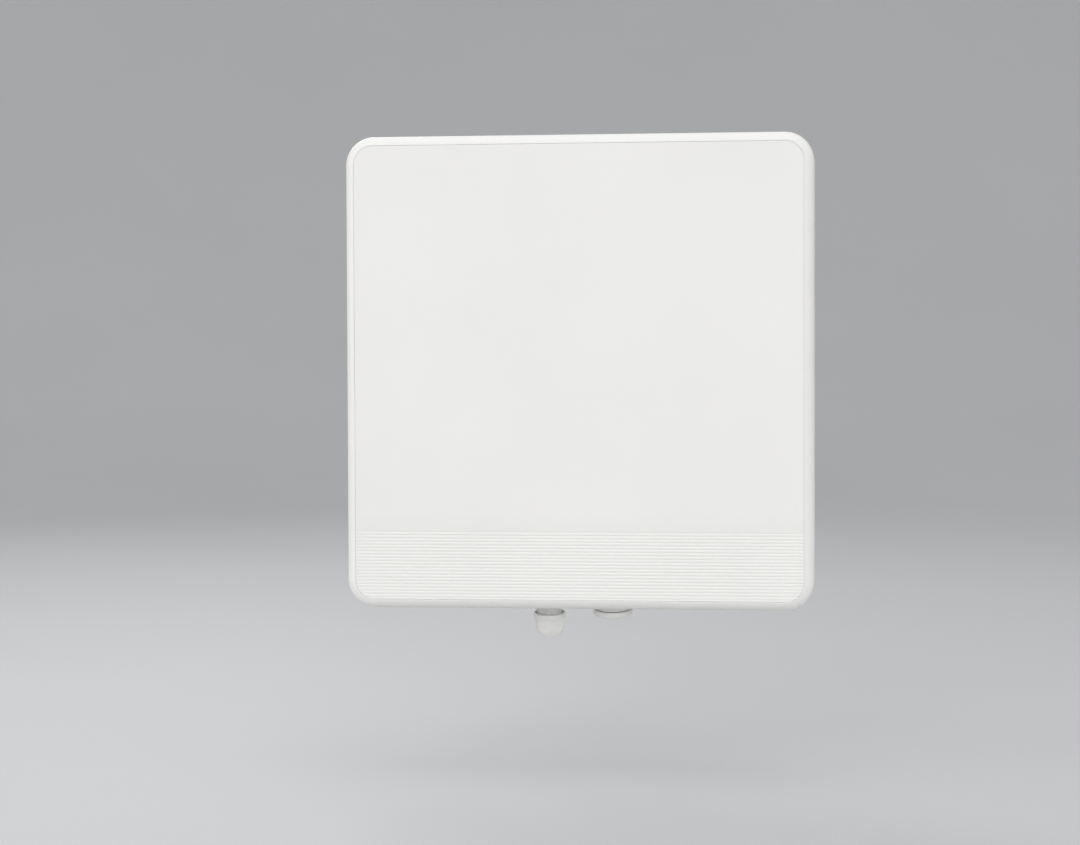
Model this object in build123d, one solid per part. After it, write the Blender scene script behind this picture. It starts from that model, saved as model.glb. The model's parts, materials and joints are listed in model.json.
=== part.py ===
from build123d import *
import os
from math import cos, radians, sin, tan

# Outdoor wireless bridge: a square flat-panel radio with its antenna inside, on a tilting
# pole bracket. Millimetres. The origin is on the pole's axis at the middle of the clamp,
# +Z is up along the pole, and the panel's front face looks along -Y.

os.makedirs("parts", exist_ok=True)

# ---- panel -----------------------------------------------------------------
PANEL_W = 366.5          # outer width of the cover at its rim
PANEL_H = 371.0          # outer height
CORNER_R = 23.0          # corner radius of the cover's outline
FACE_Y = -168.0          # flat front face
RIM_Y = -132.0           # rear rim of the cover
SKIN = 2.5               # cover wall
DRAFT = 1.5              # mould draft of the cover's sides, degrees
EDGE_R = 11.0            # rounding between face and sides
CREASE_CUT = 0.8         # how far the flat face cuts into that rounding
GROOVE_COUNT = 21        # horizontal decorative grooves
GROOVE_PITCH = 2.57
GROOVE_DEPTH = 0.45
GROOVE_HALF = 0.75       # half width at the surface
GROOVE_TOP_Z = -124.6

# ---- rear housing ----------------------------------------------------------
FLANGE_INSET = 3.1       # the flange sits this far inside the cover's outline
FLANGE_T = 4.0
PAN_INSET = 15.5         # the pan's walls, from the cover's outline
PAN_BACK_Y = -104.0      # outside of the back wall
PAN_WALL = 3.0
PAN_DRAFT = 4.0
PAN_R = 14.0
GASKET_T = 2.5
SCREW_INSET = 8.5        # housing screws, from the cover's outline
SCREW_ALONG = (-150.0, -62.0, 62.0, 150.0)
FIN_T = 2.2
FIN_FIRST, FIN_PITCH, FIN_COUNT = 64.0, 9.5, 10
FIN_TOP_Z, FIN_BOTTOM_Z = 152.0, -112.0
PAD_Y = -92.0            # rear face of the bracket pads and the fins

# ---- ports on the bottom wall ----------------------------------------------
PORT_TILT = 8.5          # the port platform leans back by this angle
PORT_Y = -116.5
PORT_Z = -178.7          # the platform's face on the line of the ports
GLAND_X = -28.0
CAP_X = 23.0
GLAND_NUT_TURN = 12.6    # where the hexagon of the nut stands, degrees from the front

# ---- bracket ---------------------------------------------------------------
POLE_R = 25.0
CLAMP_LENGTH = 60.0
PLATE = 3.0              # bracket sheet
POLE_ARM = 45.0          # inner face of the pole yoke's arms, from the middle
ARM_GAP = 0.3
TILT_ARM = POLE_ARM + PLATE + ARM_GAP
PIVOT_Y, PIVOT_Z = -62.0, 22.0
LOCK_RADIUS = 40.0       # lock bolts below the pivot
TILT_RANGE = 20.0
YOKE_BOLT_X, YOKE_BOLT_Z = 38.0, 48.0
CLAMP_BOLT_X = 36.0
CLAMP_BOLT_END = 62.0

# ---- antenna and electronics -----------------------------------------------
ARRAY = 330.0
PATCH_COUNT = 8
PATCH_PITCH = 38.5
PATCH = 21.0
BOARD_FRONT, BOARD_BACK = -114.6, -113.0
BOARD_X = 80.0
BOARD_LOW, BOARD_HIGH = -158.0, 45.0


# ---- helpers ---------------------------------------------------------------
def facing_front(y):
    """Sketches in X and Z, extruded towards the front."""
    return Plane(origin=(0, y, 0), x_dir=(1, 0, 0), z_dir=(0, -1, 0))


def facing_back(y):
    return Plane(origin=(0, y, 0), x_dir=(-1, 0, 0), z_dir=(0, 1, 0))


def facing_right(x):
    """Sketches in Y and Z, extruded along +X."""
    return Plane(origin=(x, 0, 0), x_dir=(0, 1, 0), z_dir=(1, 0, 0))


def block(x0, x1, y0, y1, z0, z1):
    middle = Pos((x0 + x1) / 2, (y0 + y1) / 2, (z0 + z1) / 2)
    return middle * Box(x1 - x0, y1 - y0, z1 - z0)


def slab(width, height, radius, y0, y1):
    """A plate with rounded corners, parallel to the panel's face."""
    return extrude(facing_front(y1) * RectangleRounded(width, height, radius), y1 - y0)


def panel_outline(inset, radius):
    """The panel's outline, drawn in by inset on every side."""
    return RectangleRounded(PANEL_W - 2 * inset, PANEL_H - 2 * inset, radius)


def panel_slab(inset, radius, y0, y1):
    return extrude(facing_front(y1) * panel_outline(inset, radius), y1 - y0)


def rod_y(x, z, radius, y0, y1):
    return Pos(x, (y0 + y1) / 2, z) * Rot(90, 0, 0) * Cylinder(radius, y1 - y0)


def rod_x(y, z, radius, x0, x1):
    return Pos((x0 + x1) / 2, y, z) * Rot(0, 90, 0) * Cylinder(radius, x1 - x0)


def hex_y(x, z, across_flats, y0, y1):
    outline = Pos(x, z) * RegularPolygon(across_flats / 2, 6, major_radius=False)
    return extrude(facing_front(y1) * outline, y1 - y0)


def hex_x(y, z, across_flats, x0, x1):
    outline = Pos(y, z) * RegularPolygon(across_flats / 2, 6, major_radius=False)
    return extrude(facing_right(x0) * outline, x1 - x0)


def turned(points):
    """A body of revolution about Z from (radius, height) points."""
    outline = Polyline(*[(r, 0, h) for r, h in points], close=True)
    return revolve(make_face(outline), Axis.Z)


def port_frame(x):
    """Z runs out of the port along its axis, from the platform's face."""
    lean = radians(PORT_TILT)
    return Plane(
        origin=(x, PORT_Y, PORT_Z), x_dir=(1, 0, 0), z_dir=(0, sin(lean), -cos(lean))
    ).location


def mirrored_x(values):
    return [sign * value for value in values for sign in (-1, 1)]


def screw_places():
    """Housing screws: four along each side of the flange."""
    line_x, line_z = PANEL_W / 2 - SCREW_INSET, PANEL_H / 2 - SCREW_INSET
    places = []
    for along in SCREW_ALONG:
        for side in (-1, 1):
            places.append((along, side * line_z))
            places.append((side * line_x, along))
    return places


def write(name, shape):
    export_step(shape, f"parts/{name}.step")


def write_group(name, solids):
    write(name, Compound(list(solids)))


# ---- radome ----------------------------------------------------------------
def cover_blank(inset, face_y, edge_radius):
    outline = facing_front(RIM_Y) * panel_outline(inset, CORNER_R - inset)
    blank = extrude(outline, RIM_Y - face_y, taper=DRAFT)
    front_edges = blank.faces().sort_by(Axis.Y)[0].edges()
    return fillet(front_edges, edge_radius)


def groove_cutters():
    cutters = []
    for i in range(GROOVE_COUNT):
        z = GROOVE_TOP_Z - i * GROOVE_PITCH
        bottom = FACE_Y + GROOVE_DEPTH
        lead = FACE_Y - GROOVE_DEPTH
        outline = Polyline(
            (lead, z + 2 * GROOVE_HALF), (bottom, z), (lead, z - 2 * GROOVE_HALF), close=True
        )
        half_width = PANEL_W / 2 - EDGE_R / 2
        cutters.append(extrude(facing_right(-half_width) * make_face(outline), 2 * half_width))
    return cutters


def radome():
    seat_y = RIM_Y - FLANGE_T - GASKET_T
    shell = cover_blank(0, FACE_Y - CREASE_CUT, EDGE_R)
    shell -= block(-PANEL_W, PANEL_W, FACE_Y - 10, FACE_Y, -PANEL_H, PANEL_H)
    shell -= cover_blank(SKIN, FACE_Y + SKIN, EDGE_R - SKIN)
    ledge = panel_slab(SKIN - 0.2, CORNER_R - SKIN, seat_y - 3.5, seat_y)
    ledge -= panel_slab(PAN_INSET - 2, 12, seat_y - 4, seat_y + 1)
    bosses = [rod_y(x, z, 4.5, seat_y - 13.5, seat_y - 1) for x, z in screw_places()]
    shell = shell + ledge + bosses
    shell -= [rod_y(x, z, 2.0, seat_y - 11.5, seat_y) for x, z in screw_places()]
    return shell - groove_cutters()


def radome_gasket():
    front, back = RIM_Y - FLANGE_T - GASKET_T, RIM_Y - FLANGE_T
    ring = panel_slab(FLANGE_INSET + 1, 19, front, back)
    ring -= panel_slab(PAN_INSET - 3, 14, front - 1, back + 1)
    return ring - [rod_y(x, z, 2.3, front - 1, back + 1) for x, z in screw_places()]


# ---- rear housing ----------------------------------------------------------
def pan_blank(inset, front_y, back_y, rounding):
    outline = facing_back(front_y) * panel_outline(PAN_INSET + inset, PAN_R - inset)
    blank = extrude(outline, back_y - front_y, taper=PAN_DRAFT)
    return fillet(blank.faces().sort_by(Axis.Y)[-1].edges(), rounding)


def cooling_fins():
    """Upright fins on the back wall, sloping off at both ends."""
    slope = 14.0
    outline = make_face(Polyline(
        (PAN_BACK_Y, FIN_BOTTOM_Z - slope), (PAD_Y, FIN_BOTTOM_Z),
        (PAD_Y, FIN_TOP_Z - slope), (PAN_BACK_Y, FIN_TOP_Z), close=True,
    ))
    places = mirrored_x([FIN_FIRST + i * FIN_PITCH for i in range(FIN_COUNT)])
    return [extrude(facing_right(x - FIN_T / 2) * outline, FIN_T) for x in places]


def port_platform():
    """The solid shelf under the pan that carries the gland and the service port."""
    drop = tan(radians(PORT_TILT))
    front, back = RIM_Y, PAN_BACK_Y
    inside = -PANEL_H / 2 + PAN_INSET + 6
    outline = make_face(Polyline(
        (front, inside), (front, PORT_Z + (front - PORT_Y) * drop),
        (back, PORT_Z + (back - PORT_Y) * drop), (back, inside), close=True,
    ))
    shelf = extrude(facing_right(GLAND_X - 18) * outline, CAP_X - GLAND_X + 37)
    upright = shelf.edges().filter_by(Axis.X, reverse=True).group_by(Axis.Y)[-1]
    return fillet(upright.sort_by(Axis.Y)[-2:], 4)


def yoke_bolt_places():
    return [(x, z) for x in (-YOKE_BOLT_X, YOKE_BOLT_X) for z in (-YOKE_BOLT_Z, YOKE_BOLT_Z)]


def bracket_pads():
    """Four tapped bosses that carry the tilting bracket."""
    return [
        rod_y(x, z, 10, PAN_BACK_Y, PAD_Y) - rod_y(x, z, 3.0, PAN_BACK_Y + 1, PAD_Y + 1)
        for x, z in yoke_bolt_places()
    ]


EARTH_X, EARTH_Z = -112.0, -146.0
EARTH_R, EARTH_NECK_R = 2.5, 2.1
EARTH_FREE_Y, EARTH_END_Y = -94.0, -81.0
VENT_X, VENT_Z = 112.0, -146.0
HEAT_X, HEAT_Z, HEAT_SIDE = 30.0, -10.0, 34.0
HEAT_TOP_Y = -108.5


def standoff_places():
    """Antenna standoffs, three by three without those over the radio board."""
    grid = (-154.0, 0.0, 154.0)
    return [(x, z) for x in grid for z in grid if abs(x) > BOARD_X or z > BOARD_HIGH]


def board_screw_places():
    inset = 6.0
    heights = (BOARD_LOW + inset, (BOARD_LOW + BOARD_HIGH) / 2, BOARD_HIGH - inset)
    return [(x, z) for x in (-BOARD_X + inset, BOARD_X - inset) for z in heights]


def housing_flange():
    """The rim that the cover is screwed to, cast in one with the pan."""
    front = RIM_Y - FLANGE_T
    flange = panel_slab(FLANGE_INSET, 20, front, RIM_Y)
    flange -= panel_slab(PAN_INSET + PAN_WALL, PAN_R - PAN_WALL, front - 1, RIM_Y + 1)
    return flange - [rod_y(x, z, 2.2, front - 1, RIM_Y + 1) for x, z in screw_places()]


def rear_housing():
    inner_back = PAN_BACK_Y - PAN_WALL
    half = HEAT_SIDE / 2
    body = pan_blank(0, RIM_Y, PAN_BACK_Y, 4) + port_platform()
    body -= pan_blank(PAN_WALL, RIM_Y - 0.01, inner_back, 2)
    body += rod_y(EARTH_X, EARTH_Z, 8, PAN_BACK_Y - 1, PAN_BACK_Y + 5)
    body += rod_y(VENT_X, VENT_Z, 10, PAN_BACK_Y - 1, PAN_BACK_Y + 2)
    body += block(
        HEAT_X - half, HEAT_X + half, HEAT_TOP_Y, inner_back + 1, HEAT_Z - half, HEAT_Z + half
    )
    body += port_frame(CAP_X) * Pos(0, 0, 4.35) * Cylinder(14.9, 10.7)
    body -= port_frame(GLAND_X) * Cylinder(10.0, 40)
    body -= port_frame(CAP_X) * Cylinder(11.06, 40)
    body -= rod_y(EARTH_X, EARTH_Z, EARTH_NECK_R, PAN_BACK_Y - 1, PAN_BACK_Y + 6)
    body -= rod_y(VENT_X, VENT_Z, 4.0, PAN_BACK_Y - 5, PAN_BACK_Y + 3)
    return body


def housing_screws():
    head_back = RIM_Y + 2.6
    screws = []
    for x, z in screw_places():
        screw = rod_y(x, z, 2.0, RIM_Y - 15, RIM_Y + 0.2) + rod_y(x, z, 3.9, RIM_Y, head_back)
        screw -= hex_y(x, z, 2.6, head_back - 1.6, head_back + 1)
        screws.append(screw)
    return screws


def vent_plug():
    """A screw-in pressure vent: stem, hexagon and a slotted round cap."""
    seat = PAN_BACK_Y + 2
    plug = rod_y(VENT_X, VENT_Z, 4.0, seat - 6, seat + 0.2)
    plug += hex_y(VENT_X, VENT_Z, 16, seat, seat + 3)
    plug += rod_y(VENT_X, VENT_Z, 7.4, seat + 3, seat + 8)
    slots = []
    for k in range(4):
        turn = Pos(VENT_X, seat + 5, VENT_Z) * Rot(0, 45 * k, 0)
        slots.append(turn * Box(17, 1.6, 1.8))
    return plug - slots


def earth_stud():
    """The neck sits in the boss and the nut; the thread's free end takes a ring terminal."""
    stud = rod_y(EARTH_X, EARTH_Z, EARTH_R, EARTH_FREE_Y, EARTH_END_Y)
    stud = chamfer(stud.edges().sort_by(Axis.Y)[-1], 0.5)
    return stud + rod_y(EARTH_X, EARTH_Z, EARTH_NECK_R, PAN_BACK_Y - 1, EARTH_FREE_Y)


def earth_nut():
    seat = PAN_BACK_Y + 5
    washer = rod_y(EARTH_X, EARTH_Z, 5.0, seat, seat + 1)
    nut = hex_y(EARTH_X, EARTH_Z, 8, seat + 1, EARTH_FREE_Y)
    hole = rod_y(EARTH_X, EARTH_Z, EARTH_NECK_R, seat - 1, EARTH_FREE_Y + 1)
    return [washer - hole, nut - hole]


# ---- cable gland, in the port's own frame (Z outwards) ------------------------
THREAD_R = 10.0
RUN = 0.06               # radial running clearance
GLAND_SEAL_BORE = 3.25
NUT_TOP, NUT_END = 13.6, 32.6
NUT_RIM_R, NUT_HEX = 12.95, 22.0
CAGE_R, CAGE_BORE = 8.22, 7.2


def gland_gasket():
    ring = Cylinder(13, 1.5) - Cylinder(THREAD_R, 3)
    return port_frame(GLAND_X) * Pos(0, 0, 0.75) * ring


def gland_body():
    """Hexagon flange with a thread into the housing and a thread for the dome nut."""
    seat = 1.5
    body = extrude(Pos(0, 0, seat) * RegularPolygon(12, 6, major_radius=False), 5)
    body += Pos(0, 0, 5.25) * Cylinder(THREAD_R, 30.5)
    ridges = []
    for k in range(36):
        ridges.append(Rot(0, 0, 10 * k) * Pos(THREAD_R - 0.12, 0, 9.9) * Box(0.5, 0.8, 6.6))
    body = body - Pos(0, 0, 6) * Cylinder(6.5, 40)
    body = body - Pos(0, 0, 18) * Cylinder(CAGE_R + 0.08, 16)
    body = body - [Pos(0, 0, 9.9) * (Cylinder(THREAD_R + 1, 5) - Cylinder(THREAD_R - 0.25, 6))]
    return port_frame(GLAND_X) * (body + ridges)


def gland_cage():
    """The clamping cage: six claws that the nut squeezes round the seal."""
    cage = turned([
        (CAGE_BORE, 17.5), (CAGE_R, 17.5), (CAGE_R, 24.6), (CAGE_BORE + 0.25, 27.2),
        (CAGE_BORE, 27.2),
    ])
    slots = [Rot(0, 0, 60 * k) * Pos(0, 0, 26) * Box(20, 0.8, 9) for k in range(3)]
    return port_frame(GLAND_X) * (cage - slots)


def gland_seal():
    seal = turned([
        (GLAND_SEAL_BORE, 16.8), (CAGE_BORE - 0.6, 16.8), (CAGE_BORE, 17.6),
        (CAGE_BORE, 26.2), (CAGE_BORE - 0.8, 27.0), (GLAND_SEAL_BORE, 27.0),
    ])
    return port_frame(GLAND_X) * seal


def gland_nut():
    outside = Polyline((0, 0, NUT_TOP), (NUT_RIM_R - 0.3, 0, NUT_TOP),
                       (NUT_RIM_R, 0, NUT_TOP + 0.4), (NUT_RIM_R, 0, NUT_TOP + 2.0),
                       (12.7, 0, NUT_TOP + 2.4), (12.7, 0, 22.5))
    dome = ThreePointArc((12.7, 0, 22.5), (11.3, 0, 27.6), (9.4, 0, 31.0))
    tip = ThreePointArc((9.4, 0, 31.0), (8.6, 0, 32.1), (7.6, 0, NUT_END))
    close = Polyline((7.6, 0, NUT_END), (0, 0, NUT_END), (0, 0, NUT_TOP))
    blank = revolve(make_face([outside, dome, tip, close]), Axis.Z)
    collar = Pos(0, 0, NUT_TOP + 1.9) * Cylinder(14, 3.8)
    flats = extrude(
        Pos(0, 0, NUT_TOP) * RegularPolygon(
            NUT_HEX / 2, 6, major_radius=False, rotation=GLAND_NUT_TURN),
        NUT_END - NUT_TOP,
    )
    nut = blank & (flats + collar)
    nut -= turned([
        (0, NUT_TOP - 1), (11.7, NUT_TOP - 1), (11.7, NUT_TOP + 2.6), (THREAD_R + RUN, NUT_TOP + 4),
        (THREAD_R + RUN, 24.5), (CAGE_R + 0.4, 24.5), (CAGE_BORE + 0.5, 27.6), (5.4, 27.6),
        (5.4, NUT_END - 1), (6.2, NUT_END + 1), (0, NUT_END + 1),
    ])
    return port_frame(GLAND_X) * nut


# ---- service cap -------------------------------------------------------------
COLLAR_END = 9.7
CAP_LIP_TOP, CAP_END = 10.1, 15.2
CAP_LIP_R = 15.85
O_RING_R, O_RING_SECTION = 13.0, 1.0


def cap_o_ring():
    centre = COLLAR_END + 0.05 + O_RING_SECTION
    ring = revolve(Plane.XZ * Pos(O_RING_R, centre) * Circle(O_RING_SECTION), Axis.Z)
    return port_frame(CAP_X) * ring


def service_cap():
    cap = turned([
        (0, 1.0), (10.2, 1.0), (11.0, 1.8), (11.0, CAP_LIP_TOP), (CAP_LIP_R - 0.4, CAP_LIP_TOP),
        (CAP_LIP_R, CAP_LIP_TOP + 0.4), (CAP_LIP_R, CAP_END - 1.2), (CAP_LIP_R - 1.2, CAP_END),
        (0, CAP_END),
    ])
    cap -= turned([
        (O_RING_R - 1.15, CAP_LIP_TOP - 1), (O_RING_R + 1.15, CAP_LIP_TOP - 1),
        (O_RING_R + 1.15, CAP_LIP_TOP + 1.75), (O_RING_R - 1.15, CAP_LIP_TOP + 1.75),
    ])
    cap -= Pos(0, 0, 3.5) * Cylinder(8.5, 6)
    cap -= Pos(0, 0, CAP_END) * Box(19, 2.4, 3.2)
    return port_frame(CAP_X) * cap


# ---- antenna -----------------------------------------------------------------
PLATE_BACK, PLATE_FRONT = -153.0, -155.0
FEED_FRONT = -156.6
COPPER = 0.2
FOAM_T = 5.8
SHEET_T = 0.5


def patch_places():
    first = -(PATCH_COUNT - 1) / 2 * PATCH_PITCH
    steps = [first + i * PATCH_PITCH for i in range(PATCH_COUNT)]
    return [(x, z) for x in steps for z in steps]


def ground_plate():
    plate = slab(ARRAY, ARRAY, 10, PLATE_FRONT, PLATE_BACK)
    plate -= [rod_y(x, z, 1.7, PLATE_FRONT - 1, PLATE_BACK + 1) for x, z in standoff_places()]
    return plate - [rod_y(x, JUMPER_HIGH_Z, 3.2, PLATE_FRONT - 1, PLATE_BACK + 1) for x in JUMPER_X]


def feed_board():
    board = slab(ARRAY, ARRAY, 10, FEED_FRONT, PLATE_FRONT)
    return board - [rod_y(x, z, 1.7, FEED_FRONT - 1, PLATE_FRONT + 1) for x, z in standoff_places()]


def square_patches(side, back_y):
    half = side / 2
    return [
        block(x - half, x + half, back_y - COPPER, back_y, z - half, z + half)
        for x, z in patch_places()
    ]


def feed_network():
    """Copper lines beside the patches: one riser per pair of columns, joined at mid height."""
    first = -(PATCH_COUNT - 1) / 2 * PATCH_PITCH
    front, back = FEED_FRONT - COPPER, FEED_FRONT
    top = (PATCH_COUNT - 1) / 2 * PATCH_PITCH
    lines = []
    for pair in range(PATCH_COUNT // 2):
        x = first + (2 * pair + 0.5) * PATCH_PITCH
        net = block(x - 1.1, x + 1.1, front, back, -top, top)
        for row in range(PATCH_COUNT):
            z = first + row * PATCH_PITCH
            reach = PATCH_PITCH / 2 - PATCH / 2 - 0.3
            net += block(x - reach, x + reach, front, back, z - 0.6, z + 0.6)
        lines.append(net)
    joined = lines[0]
    for line in lines[1:]:
        joined += line
    trunk = block(first, -first, front, back, -1.3, 1.3)
    return joined + trunk


def foam_spacers():
    """Low-loss foam posts that hold the parasitic sheet off the feed board."""
    posts = []
    spread = (PATCH_COUNT / 2 - 1) * PATCH_PITCH
    for x in (-spread, 0, spread):
        for z in (-spread, 0, spread):
            shift = PATCH_PITCH / 2 if x == 0 else 0
            posts.append(rod_y(x + shift, z + PATCH_PITCH / 2, 5, FEED_FRONT - FOAM_T - COPPER,
                               FEED_FRONT - COPPER))
    return posts


def parasitic_sheet():
    back = FEED_FRONT - COPPER - FOAM_T
    return slab(ARRAY - 6, ARRAY - 6, 8, back - SHEET_T, back)


def antenna_standoffs():
    posts = []
    for x, z in standoff_places():
        post = hex_y(x, z, 7, PLATE_BACK, PAN_BACK_Y - PAN_WALL)
        posts.append(post - rod_y(x, z, 1.5, PLATE_BACK - 1, PLATE_BACK + 9))
    return posts


def antenna_screws():
    screws = []
    for x, z in standoff_places():
        shank = rod_y(x, z, 1.5, FEED_FRONT - 0.2, PLATE_BACK + 8)
        screws.append(shank + rod_y(x, z, 2.8, FEED_FRONT - 2, FEED_FRONT))
    return screws


# ---- radio electronics ---------------------------------------------------------
JACK_X = (GLAND_X - 8.0, GLAND_X + 8.0)
JACK_FRONT = BOARD_FRONT - 13.4
JACK_Z = (-156.0, -135.0)
SOCKET = (-157.0, -142.0)    # the jack's cavity, open downwards
RESET_X = CAP_X
PLUNGER_Y = -119.2
JUMPER_X = (-66.0, 66.0)
JUMPER_LOW_Z, JUMPER_HIGH_Z = -20.0, 80.0


def radio_board():
    board = block(-BOARD_X, BOARD_X, BOARD_FRONT, BOARD_BACK, BOARD_LOW, BOARD_HIGH)
    return board - [
        rod_y(x, z, 1.6, BOARD_FRONT - 1, BOARD_BACK + 1) for x, z in board_screw_places()
    ]


def board_standoffs():
    back = PAN_BACK_Y - PAN_WALL
    return [
        hex_y(x, z, 6, BOARD_BACK, back) - rod_y(x, z, 1.5, BOARD_BACK - 1, back - 1)
        for x, z in board_screw_places()
    ]


def board_screws():
    return [
        rod_y(x, z, 1.5, BOARD_FRONT - 0.2, BOARD_BACK + 4)
        + rod_y(x, z, 2.8, BOARD_FRONT - 1.9, BOARD_FRONT)
        for x, z in board_screw_places()
    ]


def processor():
    half = 13.5
    return block(HEAT_X - half, HEAT_X + half, BOARD_BACK, BOARD_BACK + 2.4,
                 HEAT_Z - half, HEAT_Z + half)


def thermal_pad():
    half = 13.0
    return block(HEAT_X - half, HEAT_X + half, BOARD_BACK + 2.4, HEAT_TOP_Y,
                 HEAT_Z - half, HEAT_Z + half)


def shield_cans():
    """Thin-walled screening cans over the radio stages."""
    cans = []
    for x0, x1, z0, z1 in ((-58, -14, -78, -40), (14, 58, -78, -40), (-14, 30, 14, 40)):
        can = block(x0, x1, BOARD_FRONT - 4, BOARD_FRONT, z0, z1)
        can -= block(x0 + 0.4, x1 - 0.4, BOARD_FRONT - 3.6, BOARD_FRONT + 1, z0 + 0.4, z1 - 0.4)
        cans.append(can)
    return cans


def radio_card():
    """A plug-in radio card on its edge socket."""
    card = block(-52, -22, BOARD_FRONT - 6, BOARD_FRONT - 5, -26, 22)
    card += block(-50, -24, BOARD_FRONT - 8, BOARD_FRONT - 6, -18, 10)
    return card + block(-54, -20, BOARD_FRONT - 7, BOARD_FRONT, 22, 28)


def ethernet_jack():
    jack = block(*JACK_X, JACK_FRONT, BOARD_FRONT, *JACK_Z)
    socket = block(GLAND_X - 5.9, GLAND_X + 5.9, JACK_FRONT + 2.2, JACK_FRONT + 10.4, *SOCKET)
    return jack - socket


def power_parts():
    """Line transformer, power coil and smoothing capacitors."""
    parts = [
        block(-38, -18, BOARD_FRONT - 8, BOARD_FRONT, -126, -110),
        block(34, 48, BOARD_FRONT - 7, BOARD_FRONT, -126, -112),
    ]
    for x in (2.0, 12.0, 22.0):
        parts.append(rod_y(x, -118, 4, BOARD_FRONT - 10, BOARD_FRONT))
    return parts


def reset_switch():
    body = block(RESET_X - 3.2, RESET_X + 3.2, BOARD_FRONT - 8, BOARD_FRONT, -157.5, -151)
    return body - Pos(RESET_X, PLUNGER_Y, -157) * Cylinder(1.85, 4)


def reset_plunger():
    return Pos(RESET_X, PLUNGER_Y, -158.6) * fillet(
        Cylinder(1.75, 4.4).edges().sort_by(Axis.Z)[0], 0.5)


def coax_connectors():
    connectors = []
    for x in JUMPER_X:
        low = rod_y(x, JUMPER_LOW_Z, 2.6, BOARD_FRONT - 5, BOARD_FRONT)
        high = rod_y(x, JUMPER_HIGH_Z, 2.6, PLATE_BACK, PLATE_BACK + 6)
        connectors += [low, high + rod_y(x, JUMPER_HIGH_Z, 1.2, PLATE_FRONT, PLATE_BACK + 1)]
    return connectors


def coax_jumper(x):
    """From the radio board up to the antenna's feed, whole, with its real bends."""
    middle_y = (BOARD_FRONT + PLATE_BACK) / 2
    route = FilletPolyline(
        (x, BOARD_FRONT - 5, JUMPER_LOW_Z), (x, middle_y, JUMPER_LOW_Z),
        (x, middle_y, JUMPER_HIGH_Z), (x, PLATE_BACK + 6, JUMPER_HIGH_Z), radius=5.5,
    )
    start = Plane(origin=route @ 0, z_dir=route % 0)
    return sweep(start * Circle(1.0), path=route)


# ---- tilt yoke, fixed to the housing ---------------------------------------------
def u_channel(inner, outer, base_y, end_y, low, high):
    """A bent channel: base at base_y, arms reaching to end_y. Seen from above."""
    inward = 1 if end_y > base_y else -1
    plate = PLATE * inward
    outside = Pos(0, (base_y + end_y) / 2) * Rectangle(2 * outer, abs(end_y - base_y))
    inside = Pos(0, (base_y + plate + end_y + inward) / 2) * Rectangle(
        2 * inner, abs(end_y + inward - base_y - plate))
    order = 0 if inward > 0 else -1
    outside = fillet(outside.vertices().group_by(Axis.Y)[order], 5)
    inside = fillet(inside.vertices().group_by(Axis.Y)[order], 2)
    middle = (low + high) / 2
    return extrude(Pos(0, 0, middle) * (outside - inside), (high - low) / 2, both=True)


def circle_at(y, z, radius):
    return CenterArc((y, z), radius, 0, 360)


def hull_profile(circles, rectangle):
    """The tight outline round some circles and one rectangle (y0, y1, z0, z1)."""
    y0, y1, z0, z1 = rectangle
    edges = [circle_at(*circle) for circle in circles]
    edges += Polyline((y0, z0), (y1, z0), (y1, z1), (y0, z1), close=True).edges()
    return make_hull(edges)


def slot_ends():
    reach = radians(TILT_RANGE + 0.4)
    return [
        (PIVOT_Y + side * LOCK_RADIUS * sin(reach), PIVOT_Z - LOCK_RADIUS * cos(reach))
        for side in (-1, 1)
    ]


def tilt_yoke():
    base_y = PAD_Y
    channel = u_channel(TILT_ARM, TILT_ARM + PLATE, base_y, -5, -62, 62)
    arm = hull_profile(
        [(PIVOT_Y, PIVOT_Z, 11)] + [(y, z, 10.5) for y, z in slot_ends()],
        (base_y, base_y + 6, -48, 42),
    )
    base = Pos(base_y + PLATE, 0) * RectangleRounded(2 * PLATE, 120, 1)
    reach = 2 * TILT_ARM
    yoke = channel & extrude(facing_right(0) * (arm + base), reach, both=True)
    yoke -= rod_x(PIVOT_Y, PIVOT_Z, 4.0 + RUN, -reach, reach)
    slot = SlotArc(
        CenterArc((PIVOT_Y, PIVOT_Z), LOCK_RADIUS, -90 - TILT_RANGE - 0.4, 2 * TILT_RANGE + 0.8),
        2 * (4.0 + 0.09),
    )
    yoke -= extrude(facing_right(0) * slot, reach, both=True)
    for x, z in yoke_bolt_places():
        yoke -= rod_y(x, z, 3.3, base_y - 1, base_y + PLATE + 1)
    return yoke - rod_y(0, 0, 15, base_y - 1, base_y + PLATE + 1)


def yoke_bolts():
    seat = PAD_Y + PLATE + 1.2
    return [
        rod_y(x, z, 3.0, PAN_BACK_Y + 2, seat + 0.2) + hex_y(x, z, 10, seat, seat + 4)
        for x, z in yoke_bolt_places()
    ]


def yoke_washers():
    seat = PAD_Y + PLATE
    return [
        rod_y(x, z, 6.0, seat, seat + 1.2) - rod_y(x, z, 3.2, seat - 1, seat + 2)
        for x, z in yoke_bolt_places()
    ]


# ---- pole bracket ------------------------------------------------------------
LOCK_Z = PIVOT_Z - LOCK_RADIUS
YOKE_BACK, YOKE_FRONT = -33.0, -36.0
SADDLE_WING, SADDLE_TIP = 26.0, 15.0
NUT_M8, NUT_M8_T = 13.0, 6.5
WASHER_T = 1.6


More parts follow.
